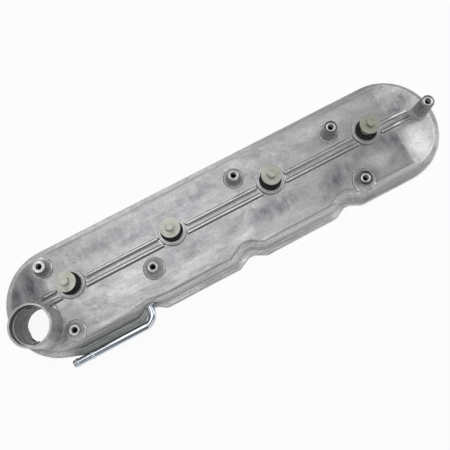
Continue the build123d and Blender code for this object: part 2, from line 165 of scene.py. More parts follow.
def spots_over(spots):
    """The strongest of several soft oval spots at each place of the casting's plan."""
    strongest = None
    for x, y, half_length, half_width, turn, depth in spots:
        moved = put(
            casting, "ShaderNodeVectorMath",
            {"operation": "SUBTRACT", 1: (x / 1000, y / 1000, 0.0)}, {0: flat},
        )
        turned_in = put(
            casting, "ShaderNodeVectorRotate",
            {"rotation_type": "Z_AXIS", "Angle": -math.radians(turn)}, {"Vector": moved},
        )
        scaled = put(
            casting, "ShaderNodeVectorMath",
            {"operation": "MULTIPLY", 1: (1000 / half_length, 1000 / half_width, 0.0)}, {0: turned_in},
        )
        reach = put(
            casting, "ShaderNodeVectorMath", {"operation": "LENGTH"}, {0: scaled},
        ).outputs["Value"]
        spot = put(
            casting, "ShaderNodeMapRange",
            {"interpolation_type": "SMOOTHSTEP", "From Min": 1.7, "From Max": 0.1, "To Max": depth},
            {"Value": reach},
        )
        strongest = spot if strongest is None else put(
            casting, "ShaderNodeMath", {"operation": "MAXIMUM"}, {0: strongest, 1: spot},
        )
    return strongest


torn_edge = put(
    casting, "ShaderNodeMapRange", {"From Min": 0.34, "From Max": 0.66, "To Min": 0.30, "To Max": 1.0},
    {"Value": torn},
)
# The smears, part of them painted shade, torn at their edges by the strokes
smear_and_shade = put(
    casting, "ShaderNodeMath", {"operation": "MULTIPLY", "use_clamp": True},
    {0: spots_over(smears_and_shade), 1: torn_edge},
)

# Painted highlights: paler places where the light catches the casting, in the same order of values
painted_highlight_places = [
    (213.0, -38.0, 24.0, 12.0, 100.0, 1.0),
    (-117.0, -25.0, 30.0, 12.0, 10.0, 0.45),
    (133.0, 0.0, 17.0, 6.0, 10.0, 0.45),
    (6.0, -38.0, 14.0, 7.0, 30.0, 0.30),
    (167.0, -33.0, 12.0, 8.0, 10.0, 0.60),
    (-207.0, -54.0, 24.0, 8.0, -15.0, 1.0),
    (236.0, -36.0, 14.0, 4.0, 60.0, 0.9),
    (101.0, -61.5, 6.0, 4.5, 50.0, 1.0),
    (-4.0, -60.5, 6.0, 4.0, 50.0, 0.9),
    (142.0, 28.0, 58.0, 9.0, 0.0, 0.65),
    (190.0, -6.0, 14.0, 7.0, 0.0, 0.40),
    (-148.0, -56.0, 36.0, 7.0, 0.0, 0.95),
    (-166.0, -19.0, 12.0, 8.0, 0.0, 0.40),
    (-114.0, -6.0, 34.0, 5.0, 3.0, 0.35),
]
painted_highlight = spots_over(painted_highlight_places)

# Where the boss tops and the sealing face are machined. From the nearest boss's axis, from_tap
# is the distance (m), and nearest is that distance in radii of the boss's flat top.
top_rounding = 0.45
over_top_z = 0.0232
seal_z = 0.00115
nearest = None
from_tap = None
top_shine = None
for x, y, top, radius, shine in coil_bosses:
    away = put(
        casting, "ShaderNodeVectorMath", {"operation": "DISTANCE", 1: (x / 1000, y / 1000, 0.0)},
        {0: flat},
    ).outputs["Value"]
    share = put(
        casting, "ShaderNodeMath", {"operation": "MULTIPLY", 1: 1000 / (radius - top_rounding)},
        {0: away},
    )
    this_boss = put(casting, "ShaderNodeMath", {"operation": "LESS_THAN", 1: 1.1}, {0: share})
    this_boss = put(casting, "ShaderNodeMath", {"operation": "MULTIPLY", 1: shine}, {0: this_boss})
    top_shine = this_boss if top_shine is None else put(
        casting, "ShaderNodeMath", {"operation": "ADD"}, {0: top_shine, 1: this_boss},
    )
    nearest = share if nearest is None else put(
        casting, "ShaderNodeMath", {"operation": "MINIMUM"}, {0: nearest, 1: share},
    )
    from_tap = away if from_tap is None else put(
        casting, "ShaderNodeMath", {"operation": "MINIMUM"}, {0: from_tap, 1: away},
    )
on_boss = put(casting, "ShaderNodeMath", {"operation": "LESS_THAN", 1: 1.0}, {0: nearest})
above_skin = put(
    casting, "ShaderNodeMath", {"operation": "GREATER_THAN", 1: over_top_z}, {0: split.outputs["Z"]},
)
on_boss = put(casting, "ShaderNodeMath", {"operation": "MULTIPLY"}, {0: on_boss, 1: above_skin})
# Painted shade: the steep waist just below each boss top is painted darker
boss_waist_shade = put(
    casting, "ShaderNodeMapRange", {"From Min": 1.45, "From Max": 1.10}, {"Value": nearest},
)
boss_waist_shade = put(casting, "ShaderNodeMath", {"operation": "MULTIPLY"}, {0: boss_waist_shade, 1: above_skin})
# Round the bright countersink the flat top is painted darker, a painted dark reflection, less
# so on the tops that keep more shine
flat_top = put(
    casting, "ShaderNodeMapRange", {"From Min": 0.0043, "From Max": 0.0049, "To Min": 0.2},
    {"Value": from_tap},
)
flat_top = put(casting, "ShaderNodeMath", {"operation": "MULTIPLY"}, {0: flat_top, 1: on_boss})
dark_top_reflection = put(casting, "ShaderNodeMath", {"operation": "SUBTRACT", 0: 1.0}, {1: top_shine})
dark_top_reflection = put(
    casting, "ShaderNodeMath", {"operation": "MULTIPLY", "use_clamp": True}, {0: dark_top_reflection, 1: flat_top},
)
on_seal = put(casting, "ShaderNodeMath", {"operation": "LESS_THAN", 1: seal_z}, {0: split.outputs["Z"]})
machined = put(casting, "ShaderNodeMath", {"operation": "MAXIMUM"}, {0: on_boss, 1: on_seal})

# Oil has browned the inside of the filler neck, and it is painted darker there as painted shade
neck_bore = 0.0189
from_neck = put(
    casting, "ShaderNodeVectorMath",
    {"operation": "DISTANCE", 1: (neck_centre[0] / 1000, neck_centre[1] / 1000, 0.0)}, {0: flat},
).outputs["Value"]
in_neck = put(casting, "ShaderNodeMath", {"operation": "LESS_THAN", 1: neck_bore}, {0: from_neck})
varnish_and_shade = put(
    casting, "ShaderNodeMapRange", {"From Min": 0.3, "From Max": 0.7, "To Min": 0.60, "To Max": 0.95},
    {"Value": blotches},
)
varnish_and_shade = put(casting, "ShaderNodeMath", {"operation": "MULTIPLY"}, {0: varnish_and_shade, 1: in_neck})

# Painted shade: the drilled taps are painted near black below their countersinks
tap_shade_radius = 0.0029
tap_shade = put(casting, "ShaderNodeMath", {"operation": "LESS_THAN", 1: tap_shade_radius}, {0: from_tap})
tap_shade = put(casting, "ShaderNodeMath", {"operation": "MULTIPLY"}, {0: tap_shade, 1: above_skin})

# A painted highlight runs along the crests of the twin ribs, and a narrow line of painted shade
# along both sides of each foot. The lines stop at the towers, the end boss and the neck.
rib_lines = (-0.3, -8.8)
rib_half = 0.0018
rib_low_z = 0.0125
tower_reach = 0.0165
boss_reach = 2.3
neck_reach = 0.0245
bolt_pitch = 111.76
bolt_x = [(index - 1.5) * bolt_pitch for index in range(4)]
rib_crest_highlight = None
rib_foot_shade = None
for rib_y in rib_lines:
    beside = put(
        casting, "ShaderNodeMath", {"operation": "SUBTRACT", 1: rib_y / 1000}, {0: split.outputs["Y"]},
    )
    beside = put(casting, "ShaderNodeMath", {"operation": "ABSOLUTE"}, {0: beside})
    line = put(
        casting, "ShaderNodeMapRange", {"From Min": 0.00075, "From Max": 0.0003}, {"Value": beside},
    )
    rib_crest_highlight = line if rib_crest_highlight is None else put(
        casting, "ShaderNodeMath", {"operation": "MAXIMUM"}, {0: rib_crest_highlight, 1: line},
    )
    off_foot = put(casting, "ShaderNodeMath", {"operation": "SUBTRACT", 1: rib_half}, {0: beside})
    off_foot = put(casting, "ShaderNodeMath", {"operation": "ABSOLUTE"}, {0: off_foot})
    line = put(
        casting, "ShaderNodeMapRange", {"From Min": 0.0008, "From Max": 0.0002}, {"Value": off_foot},
    )
    rib_foot_shade = line if rib_foot_shade is None else put(
        casting, "ShaderNodeMath", {"operation": "MAXIMUM"}, {0: rib_foot_shade, 1: line},
    )
limits = [(split.outputs["Z"], rib_low_z), (nearest, boss_reach), (from_neck, neck_reach)]
for x in bolt_x:
    from_tower = put(
        casting, "ShaderNodeVectorMath", {"operation": "DISTANCE", 1: (x / 1000, 0.0, 0.0)}, {0: flat},
    ).outputs["Value"]
    limits.append((from_tower, tower_reach))
for measure, limit in limits:
    past = put(casting, "ShaderNodeMath", {"operation": "GREATER_THAN", 1: limit}, {0: measure})
    rib_crest_highlight = put(casting, "ShaderNodeMath", {"operation": "MULTIPLY"}, {0: rib_crest_highlight, 1: past})
    rib_foot_shade = put(casting, "ShaderNodeMath", {"operation": "MULTIPLY"}, {0: rib_foot_shade, 1: past})

# The walls' edges are painted bright too, partly as rubbed wear and partly as painted highlight,
# found by how far a rounded normal leaves the real one. They fade in places, at the neck's foot
# and on the ledge inside it.
neck_foot = 0.0285
neck_rim_z = 0.045
rounded = put(casting, "ShaderNodeBevel", {"samples": 8, "Radius": 0.0020})
softened = put(casting, "ShaderNodeBevel", {"samples": 6, "Radius": 0.0008})
surface = put(casting, "ShaderNodeNewGeometry").outputs["Normal"]
agree = put(
    casting, "ShaderNodeVectorMath", {"operation": "DOT_PRODUCT"}, {0: rounded, 1: surface},
).outputs["Value"]
edge = put(casting, "ShaderNodeMapRange", {"From Min": 0.99, "From Max": 0.88}, {"Value": agree})
edge_patches = put(
    casting, "ShaderNodeMapRange", {"From Min": 0.36, "From Max": 0.54, "To Min": 0.5, "To Max": 1.0},
    {"Value": blotches},
)
edge = put(casting, "ShaderNodeMath", {"operation": "MAXIMUM"}, {0: edge, 1: rib_crest_highlight})
off_neck_foot = put(
    casting, "ShaderNodeMath", {"operation": "GREATER_THAN", 1: neck_foot}, {0: from_neck},
)
neck_rim = put(
    casting, "ShaderNodeMath", {"operation": "GREATER_THAN", 1: neck_rim_z}, {0: split.outputs["Z"]},
)
off_neck_foot = put(
    casting, "ShaderNodeMath", {"operation": "MAXIMUM"}, {0: off_neck_foot, 1: neck_rim},
)
ledge = put(casting, "ShaderNodeMapRange", {"To Min": 1.0, "To Max": 0.5}, {"Value": in_neck})
for kept in (edge_patches, off_neck_foot, ledge):
    edge = put(casting, "ShaderNodeMath", {"operation": "MULTIPLY"}, {0: edge, 1: kept})

# Painted shade in the inside corners, found by an occlusion test, but hardly any at the bosses'
# round feet
corner = put(casting, "ShaderNodeAmbientOcclusion", {"samples": 8, "Distance": 0.0020}).outputs["AO"]
corner_shade = put(
    casting, "ShaderNodeMapRange", {"From Min": 0.66, "From Max": 0.32, "To Max": 0.6},
    {"Value": corner},
)
off_boss_foot = put(
    casting, "ShaderNodeMapRange", {"From Min": 2.2, "From Max": 3.0, "To Min": 0.1},
    {"Value": nearest},
)
corner_shade = put(casting, "ShaderNodeMath", {"operation": "MULTIPLY"}, {0: corner_shade, 1: off_boss_foot})

# Sparse nicks from handling in the bin, a millimetre or two across, most of them by the back edge
nicks = put(
    casting, "ShaderNodeTexNoise", {"Scale": 330.0, "Detail": 3.0, "Roughness": 0.7},
    {"Vector": drawn_out},
).outputs["Fac"]
nicks = put(casting, "ShaderNodeMapRange", {"From Min": 0.665, "From Max": 0.70}, {"Value": nicks})
nicked = put(
    casting, "ShaderNodeMapRange", {"From Min": -0.010, "From Max": 0.036, "To Min": 0.25, "To Max": 1.0},
    {"Value": split.outputs["Y"]},
)
nicks = put(casting, "ShaderNodeMath", {"operation": "MULTIPLY"}, {0: nicks, 1: nicked})

# Walls and the strip along the front edge show the drawn flow lines, flat tops hardly do
upright = put(casting, "ShaderNodeSeparateXYZ", links={0: surface}).outputs["Z"]
wall_share = put(
    casting, "ShaderNodeMapRange", {"From Min": 0.995, "From Max": 0.75, "To Min": 0.12, "To Max": 1.0},
    {"Value": upright},
)
front_strip = put(
    casting, "ShaderNodeMapRange", {"From Min": -0.046, "From Max": -0.053, "To Max": 0.8},
    {"Value": split.outputs["Y"]},
)
wall_share = put(casting, "ShaderNodeMath", {"operation": "MAXIMUM"}, {0: wall_share, 1: front_strip})
streak_tones = []
for low, high in ((0.48, 0.64), (0.44, 0.32)):
    streak = put(casting, "ShaderNodeMapRange", {"From Min": low, "From Max": high}, {"Value": streaks})
    streak_tones.append(
        put(casting, "ShaderNodeMath", {"operation": "MULTIPLY"}, {0: streak, 1: wall_share})
    )
streak_marks, streak_gaps = streak_tones

# The walls' drawn skin is dull, more like matt paint, and painted pale as painted light: most of
# all low down, along the front and on the bosses, and little on the back wall
dull_and_lit_wall = put(casting, "ShaderNodeMapRange", {"From Min": 0.99, "From Max": 0.85}, {"Value": upright})
low_skin = put(
    casting, "ShaderNodeMapRange", {"From Min": 0.0215, "From Max": 0.0185, "To Min": 0.3, "To Max": 1.0},
    {"Value": split.outputs["Z"]},
)
front_side = put(
    casting, "ShaderNodeMapRange", {"From Min": -0.0455, "From Max": -0.0500},
    {"Value": split.outputs["Y"]},
)
low_skin = put(casting, "ShaderNodeMath", {"operation": "MAXIMUM"}, {0: low_skin, 1: front_side})
bare_back = put(
    casting, "ShaderNodeMapRange", {"From Min": 0.028, "From Max": 0.036, "To Min": 1.0, "To Max": 0.3},
    {"Value": split.outputs["Y"]},
)
low_skin = put(casting, "ShaderNodeMath", {"operation": "MULTIPLY"}, {0: low_skin, 1: bare_back})
near_boss = put(
    casting, "ShaderNodeMapRange", {"From Min": 2.8, "From Max": 2.3, "To Max": 0.65},
    {"Value": nearest},
)
low_skin = put(casting, "ShaderNodeMath", {"operation": "MAXIMUM"}, {0: low_skin, 1: near_boss})
out_of_neck = put(casting, "ShaderNodeMath", {"operation": "SUBTRACT", 0: 1.0}, {1: in_neck})
for kept in (low_skin, out_of_neck):
    dull_and_lit_wall = put(casting, "ShaderNodeMath", {"operation": "MULTIPLY"}, {0: dull_and_lit_wall, 1: kept})

# Painted shade on the wall and rail behind the breather tube, in a greenish grey
shade_behind_tube = put(
    casting, "ShaderNodeMapRange", {"From Min": -0.0535, "From Max": -0.0600},
    {"Value": split.outputs["Y"]},
)
for low_x, high_x in ((-0.203, -0.192), (-0.108, -0.118)):
    inside = put(
        casting, "ShaderNodeMapRange", {"From Min": low_x, "From Max": high_x},
        {"Value": split.outputs["X"]},
    )
    shade_behind_tube = put(casting, "ShaderNodeMath", {"operation": "MULTIPLY"}, {0: shade_behind_tube, 1: inside})

# Colour: cloudy grey, warmer and cooler in places, then each mark in turn on top of the last
cloud_ramp = put(casting, "ShaderNodeMapRange", {"From Min": 0.36, "From Max": 0.64}, {"Value": clouds})
colour = put(
    casting, "ShaderNodeMix", {"data_type": "RGBA", "A": linear("#a9aaac"), "B": linear("#bcbcbb")},
    {"Factor": cloud_ramp},
).outputs["Result"]
# Mask, its values for none and for all of the colour, the most of it to mix in, and the colour
# Several of these steps paint light: highlights on the pale places, edges, rib crests and walls, and shade
# on the rib feet, boss waists, corners, taps, behind the tube, the flat boss tops and part of the smears
# and of the neck
casting_steps = [
    (blotches, 0.40, 0.72, 0.30, "#a3a2a2"),
    (blotches, 0.50, 0.26, 0.25, "#cdcdcb"),
    (painted_highlight, 0.0, 1.0, 0.85, "#e8e8e6"),
    (dull_and_lit_wall, 0.0, 1.0, 0.95, "#ebebe9"),
    (streak_gaps, 0.0, 1.0, 0.5, "#f4f4f2"),
    (streak_marks, 0.0, 1.0, 0.7, "#7c7e83"),
    (grain, 0.46, 0.70, 0.50, "#85868a"),
    (smear_and_shade, 0.0, 1.0, 0.95, "#4e515b"),
    (rib_foot_shade, 0.0, 1.0, 0.80, "#606165"),
    (boss_waist_shade, 0.0, 1.0, 0.65, "#505155"),
    (shade_behind_tube, 0.0, 1.0, 0.75, "#5f6563"),
    (nicks, 0.0, 1.0, 0.75, "#5e5f62"),
    (corner_shade, 0.0, 1.0, 0.80, "#5c5d60"),
    (varnish_and_shade, 0.0, 1.0, 1.0, "#413c36"),
    (edge, 0.0, 1.0, 0.95, "#f2f2f0"),
    (machined, 0.0, 1.0, 1.0, "#f6f6f4"),
    (dark_top_reflection, 0.0, 1.0, 0.95, "#3a3a3e"),
    (tap_shade, 0.0, 1.0, 1.0, "#232324"),
]
for source, low, high, most, code in casting_steps:
    amount = put(
        casting, "ShaderNodeMapRange", {"From Min": low, "From Max": high, "To Max": most},
        {"Value": source},
    )
    colour = put(
        casting, "ShaderNodeMix", {"data_type": "RGBA", "B": linear(code)},
        {"Factor": amount, "A": colour},
    ).outputs["Result"]

rough = put(
    casting, "ShaderNodeMapRange", {"From Min": 0.3, "From Max": 0.7, "To Min": 0.33, "To Max": 0.46},
    {"Value": blotches},
)
for share, smoothness in ((edge, 0.24), (machined, 0.28)):
    rough = put(
        casting, "ShaderNodeMix", {"data_type": "FLOAT", "B": smoothness},
        {"Factor": share, "A": rough},
    ).outputs["Result"]

# Relief: the cast skin's waves, 13 mm apart, and its grain, both left off machined faces
waves = put(
    casting, "ShaderNodeTexNoise", {"Scale": 75.0, "Detail": 2.0}, {"Vector": drawn_out},
).outputs["Fac"]
cast_only = put(casting, "ShaderNodeMath", {"operation": "SUBTRACT", 0: 1.0}, {1: machined})
wave_relief = put(
    casting, "ShaderNodeBump", {"Distance": 0.0011},
    {"Height": waves, "Strength": cast_only, "Normal": softened},
)
grain_share = put(casting, "ShaderNodeMath", {"operation": "MULTIPLY", 1: 0.42}, {0: cast_only})
grain_relief = put(
    casting, "ShaderNodeBump", {"Distance": 0.00028},
    {"Height": grain, "Strength": grain_share, "Normal": wave_relief},
)
# A facing cut leaves rings 0.1 mm apart on the boss tops; they are drawn 0.6 mm apart
rings = put(casting, "ShaderNodeMath", {"operation": "MULTIPLY", 1: 62.0}, {0: nearest})
rings = put(casting, "ShaderNodeMath", {"operation": "SINE"}, {0: rings})
ring_relief = put(
    casting, "ShaderNodeBump", {"Distance": 0.00006},
    {"Height": rings, "Strength": on_boss, "Normal": grain_relief},
)
# The neck was bored: fine rings run round its inside, 0.4 mm apart, drawn 1.8 mm apart
ring_spacing = 0.0018
bored = put(
    casting, "ShaderNodeMath", {"operation": "MULTIPLY", 1: 2 * math.pi / ring_spacing},
    {0: split.outputs["Z"]},
)
bored = put(casting, "ShaderNodeMath", {"operation": "SINE"}, {0: bored})
bored_relief = put(
    casting, "ShaderNodeBump", {"Distance": 0.00025},
    {"Height": bored, "Strength": in_neck, "Normal": ring_relief},
)
metal_share = put(casting, "ShaderNodeMapRange", {"To Min": 0.85, "To Max": 0.15}, {"Value": dull_and_lit_wall})
feed(casting, shader, {"Base Color": colour, "Metallic": metal_share})
feed(casting, shader, {"Roughness": rough, "Normal": bored_relief})
for name in nodes:
    if name.startswith(("cover_casting", "bolt_tower", "tray_pillar", "coil_boss", "filler_neck")):
        wear(name, casting)


# ---------------------------------------------------------------------------
# Threads in the seven coil bosses. Each is an M6 thread with a 1 mm pitch, cut into the
# casting after drilling; its crests stand in the drilled hole.
# ---------------------------------------------------------------------------


def shown(name, mesh, material, body="cover"):
    """Makes a mesh into a smooth piece that wears one material and rides on one body."""
    mesh.normal_update()
    data = bpy.data.meshes.new(name)
    mesh.to_mesh(data)
    mesh.free()
    data.polygons.foreach_set("use_smooth", [True] * len(data.polygons))
    data.materials.append(material)
    piece = bpy.data.objects.new(name, data)
    bpy.context.scene.collection.objects.link(piece)
    data.set_sharp_from_angle(angle=math.radians(38))
    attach(piece, body)
    return piece


def skin_over(mesh, loops, closed=False):
    """Joins a list of equally long loops of points with quads."""
    rows = [[mesh.verts.new(point) for point in loop] for loop in loops]
    pairs = list(zip(rows, rows[1:]))
    if closed:
        pairs.append((rows[-1], rows[0]))
    for low, high in pairs:
        for index in range(len(low)):
            after = (index + 1) % len(low)
            mesh.faces.new((low[index], low[after], high[after], high[index]))
    return rows


thread_pitch = 1.0
tap_radius = 2.5
tap_floor = 25.5
sink_depth = 1.27
thread_start = 0.4
end_margin = 0.6
wall_bite = 0.03
crest_height = 0.42
flank_half = 0.44
crest_half = 0.07

# Cut aluminium: bright on the first crests, and painted near black further down as painted shade
# found by an occlusion test. The cutter's streaks, 0.1 mm wide, are drawn 1 mm wide.
cut_thread, shader, place = new_material("aluminium, tapped thread")
streak = put(
    cut_thread, "ShaderNodeTexNoise", {"Scale": 900.0, "Detail": 2.0}, {"Vector": place},
).outputs["Fac"]
tone = put(
    cut_thread, "ShaderNodeMix", {"data_type": "RGBA", "A": linear("#9a9a9b"), "B": linear("#e0e0de")},
    {"Factor": streak},
).outputs["Result"]
hidden = put(cut_thread, "ShaderNodeAmbientOcclusion", {"samples": 8, "Distance": 0.006}).outputs["AO"]
thread_shade = put(
    cut_thread, "ShaderNodeMapRange", {"From Min": 0.30, "From Max": 0.12, "To Max": 0.95},
    {"Value": hidden},
)
tone = put(
    cut_thread, "ShaderNodeMix", {"data_type": "RGBA", "B": linear("#1d1d1e")},
    {"Factor": thread_shade, "A": tone},
).outputs["Result"]
dull = put(cut_thread, "ShaderNodeMapRange", {"To Min": 0.2, "To Max": 0.36}, {"Value": streak})
feed(cut_thread, shader, {"Base Color": tone, "Roughness": dull})
shader.inputs["Metallic"].default_value = 1.0

for number, (x, y, top, radius, shine) in enumerate(coil_bosses, start=1):
    mesh = bmesh.new()
    steps = 28
    turns = int((top - sink_depth - tap_floor - end_margin) / thread_pitch)
    strip = []
    for step in range(turns * steps + 1):
        angle = 2 * math.pi * step / steps
        height = tap_floor + thread_start + thread_pitch * step / steps
        # The thread rises from the drilled wall over its first turn and dies into it over its last
        ends = min(1.0, step / steps, (turns * steps - step) / steps)
        root = tap_radius + wall_bite
        crest = tap_radius + 0.02 - crest_height * ends
        corners = ((root, -flank_half), (crest, -crest_half), (crest, crest_half), (root, flank_half))
        section = []
        for reach, rise in corners:
            section.append((
                (x + reach * math.cos(angle)) / 1000,
                (y + reach * math.sin(angle)) / 1000,
                (height + rise) / 1000,
            ))
        strip.append([mesh.verts.new(point) for point in section])
    for low, high in zip(strip, strip[1:]):
        for index in range(len(low) - 1):
            mesh.faces.new((low[index], low[index + 1], high[index + 1], high[index]))
    shown(f"boss_thread_{number}", mesh, cut_thread)


# ---------------------------------------------------------------------------
# The rail gasket. One moulded rubber cord pressed into the groove under the rail; its bead
# stands one millimetre proud and is what seals on the cylinder head.
# ---------------------------------------------------------------------------

# Moulded rubber: near black and matt, with a faint dusty bloom in 6 mm patches. The grain of
# the mould, 0.1 mm, is drawn 0.7 mm across.
gasket_rubber, shader, place = new_material("silicone rubber, moulded")
bloom = put(
    gasket_rubber, "ShaderNodeTexNoise", {"Scale": 160.0, "Detail": 5.0, "Roughness": 0.65},
    {"Vector": place},
).outputs["Fac"]
bloom_ramp = put(
    gasket_rubber, "ShaderNodeMapRange", {"From Min": 0.4, "From Max": 0.75}, {"Value": bloom},
)
tone = put(
    gasket_rubber, "ShaderNodeMix", {"data_type": "RGBA", "A": linear("#26262a"), "B": linear("#3d3d40")},
    {"Factor": bloom_ramp},
).outputs["Result"]
dull = put(gasket_rubber, "ShaderNodeMapRange", {"To Min": 0.55, "To Max": 0.8}, {"Value": bloom})
skin = put(
    gasket_rubber, "ShaderNodeTexNoise", {"Scale": 1400.0, "Detail": 2.0}, {"Vector": place},
).outputs["Fac"]
relief = put(gasket_rubber, "ShaderNodeBump", {"Strength": 0.3, "Distance": 0.0001}, {"Height": skin})
feed(gasket_rubber, shader, {"Base Color": tone, "Roughness": dull, "Normal": relief})
wear("rail_gasket", gasket_rubber)


# ---------------------------------------------------------------------------
# Rubber grommets in the four bolt towers. Each is a moulded ring with fine ridges round its
# top, gripped in the tower's counterbore, and it holds its bolt captive.
# ---------------------------------------------------------------------------


def eased(corners, radius, steps):
    """A profile whose corners are rounded: corners are (radius, height) in millimetres."""
    points = [Vector(corners[0])]
    for before, corner, after in zip(corners, corners[1:], corners[2:]):
        before, corner, after = Vector(before), Vector(corner), Vector(after)
        room = min(radius, (before - corner).length * 0.45, (after - corner).length * 0.45)
        start = corner + (before - corner).normalized() * room
        end = corner + (after - corner).normalized() * room
        for step in range(steps + 1):
            t = step / steps
            points.append(start * (1 - t) ** 2 + corner * 2 * t * (1 - t) + end * t ** 2)
    points.append(Vector(corners[-1]))
    return [tuple(point) for point in points]


def turned(profile, centre, around):
    """A mesh turned about an upright axis. Each ring is (radius, height), and the radius may
    be a function of the angle."""
    mesh = bmesh.new()
    loops = []
    for radius, height in profile:
        loop = []
        for index in range(around):
            angle = 2 * math.pi * index / around
            reach = radius(angle) if callable(radius) else radius
            loop.append((
                (centre[0] + reach * math.cos(angle)) / 1000,
                (centre[1] + reach * math.sin(angle)) / 1000,
                height / 1000,
            ))
        loops.append(loop)
    return mesh, skin_over(mesh, loops)


tower_top = 28.0
grommet_outer = 11.4
grommet_bore = 5.98
grommet_seat = 10.0
ridge_pitch = 1.7
ridge_rise = 0.2
crest_drop = 0.3
valley_drop = 1.4

# Moulded black rubber: deep black with a painted sheen along its open ridges, and 2 mm pale specks
grommet_rubber, shader, place = new_material("nitrile rubber, moulded")
specks = put(
    grommet_rubber, "ShaderNodeTexNoise", {"Scale": 420.0, "Detail": 4.0, "Roughness": 0.7},
    {"Vector": place},
).outputs["Fac"]
speck_ramp = put(
    grommet_rubber, "ShaderNodeMapRange", {"From Min": 0.5, "From Max": 0.8}, {"Value": specks},
)
tone = put(
    grommet_rubber, "ShaderNodeMix", {"data_type": "RGBA", "A": linear("#17171a"), "B": linear("#34343a")},
    {"Factor": speck_ramp},
).outputs["Result"]
open_side = put(
    grommet_rubber, "ShaderNodeAmbientOcclusion", {"samples": 8, "Distance": 0.0016},
).outputs["AO"]
painted_ridge_sheen = put(
    grommet_rubber, "ShaderNodeMapRange", {"From Min": 0.62, "From Max": 0.92, "To Max": 0.85},
    {"Value": open_side},
)
tone = put(
    grommet_rubber, "ShaderNodeMix", {"data_type": "RGBA", "B": linear("#504d50")},
    {"Factor": painted_ridge_sheen, "A": tone},
).outputs["Result"]
dull = put(grommet_rubber, "ShaderNodeMapRange", {"To Min": 0.42, "To Max": 0.66}, {"Value": specks})
relief = put(
    grommet_rubber, "ShaderNodeBump", {"Strength": 0.35, "Distance": 0.00012}, {"Height": specks},
)
feed(grommet_rubber, shader, {"Base Color": tone, "Roughness": dull, "Normal": relief})

for number, x in enumerate(bolt_x, start=1):
    crest_z = tower_top - crest_drop
    valley_z = tower_top - valley_drop
    corners = [(grommet_bore, grommet_seat), (grommet_outer, grommet_seat), (grommet_outer, crest_z - 0.2)]
    corners += [(grommet_outer - 0.8, crest_z), (grommet_outer - 1.4, valley_z)]
    # Concentric ridges that rise a little towards the bolt
    for ridge in range(2):
        reach = grommet_outer - 2.1 - ridge_pitch * ridge
        rise = ridge_rise * ridge
        corners += [(reach, crest_z + rise), (reach - ridge_pitch / 2, valley_z + rise)]
    corners += [(grommet_bore + 0.35, tower_top + ridge_rise), (grommet_bore, crest_z)]
    profile = eased(corners + [corners[0]], 0.35, 3)
    mesh, rows = turned(profile, (x, 0.0), 72)
    bmesh.ops.remove_doubles(mesh, verts=mesh.verts, dist=1e-7)
    piece = shown(f"ridged_grommet_{number}", mesh, grommet_rubber)
    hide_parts(f"bolt_grommet_{number}")


# ---------------------------------------------------------------------------
# Four captive bolts. Cold-headed steel with a small hexagon on a wide flange, a long plain
# shoulder with one ring cut round it, and an M6 thread; zinc-flake plated.
# ---------------------------------------------------------------------------

# Zinc-flake plating: an even, pale grey-green that is more like matt paint than bare metal,
# mottled every 3 mm, dirty in 8 mm patches and rubbed to brighter metal on the corners
plating, shader, place = new_material("steel, zinc-flake plated")
mottle = put(
    plating, "ShaderNodeTexNoise", {"Scale": 330.0, "Detail": 4.0, "Roughness": 0.62},
    {"Vector": place},
).outputs["Fac"]
patch = put(
    plating, "ShaderNodeTexNoise", {"Scale": 120.0, "Detail": 3.0}, {"Vector": place},
).outputs["Fac"]
rounded = put(plating, "ShaderNodeBevel", {"samples": 6, "Radius": 0.0006})
surface = put(plating, "ShaderNodeNewGeometry").outputs["Normal"]
agree = put(
    plating, "ShaderNodeVectorMath", {"operation": "DOT_PRODUCT"}, {0: rounded, 1: surface},
).outputs["Value"]
edge = put(
    plating, "ShaderNodeMapRange", {"From Min": 0.97, "From Max": 0.84, "To Max": 0.6},
    {"Value": agree},
)
tone = put(
    plating, "ShaderNodeMix", {"data_type": "RGBA", "A": linear("#c0c0b5"), "B": linear("#e1e1da")},
    {"Factor": mottle},
).outputs["Result"]
dirt = put(
    plating, "ShaderNodeMapRange", {"From Min": 0.50, "From Max": 0.70, "To Max": 0.65},
    {"Value": patch},
)
tone = put(
    plating, "ShaderNodeMix", {"data_type": "RGBA", "B": linear("#aeac9f")},
    {"Factor": dirt, "A": tone},
).outputs["Result"]
# The bolts differ a little from one another, duller and yellower towards the right-hand end
across = put(plating, "ShaderNodeSeparateXYZ", links={0: place}).outputs["X"]
handled = put(
    plating, "ShaderNodeMapRange", {"From Min": -0.08, "From Max": 0.17, "To Max": 0.70},
    {"Value": across},
)
tone = put(
    plating, "ShaderNodeMix", {"data_type": "RGBA", "B": linear("#9b9a8b")},
    {"Factor": handled, "A": tone},
).outputs["Result"]
tone = put(
    plating, "ShaderNodeMix", {"data_type": "RGBA", "B": linear("#dedfd8")},
    {"Factor": edge, "A": tone},
).outputs["Result"]
# Painted shade: the flange's side and the shoulder, which face sideways, are painted darker
upright = put(plating, "ShaderNodeSeparateXYZ", links={0: surface}).outputs["Z"]
side_shade = put(
    plating, "ShaderNodeMapRange", {"From Min": 0.8, "From Max": 0.3, "To Max": 0.8},
    {"Value": upright},
)
tone = put(
    plating, "ShaderNodeMix", {"data_type": "RGBA", "B": linear("#8f8f82")},
    {"Factor": side_shade, "A": tone},
).outputs["Result"]
dull = put(plating, "ShaderNodeMapRange", {"To Min": 0.42, "To Max": 0.62}, {"Value": mottle})
relief = put(plating, "ShaderNodeBump", {"Strength": 0.25, "Distance": 0.00012}, {"Height": mottle})
feed(plating, shader, {"Base Color": tone, "Roughness": dull, "Normal": relief})
shader.inputs["Metallic"].default_value = 0.55

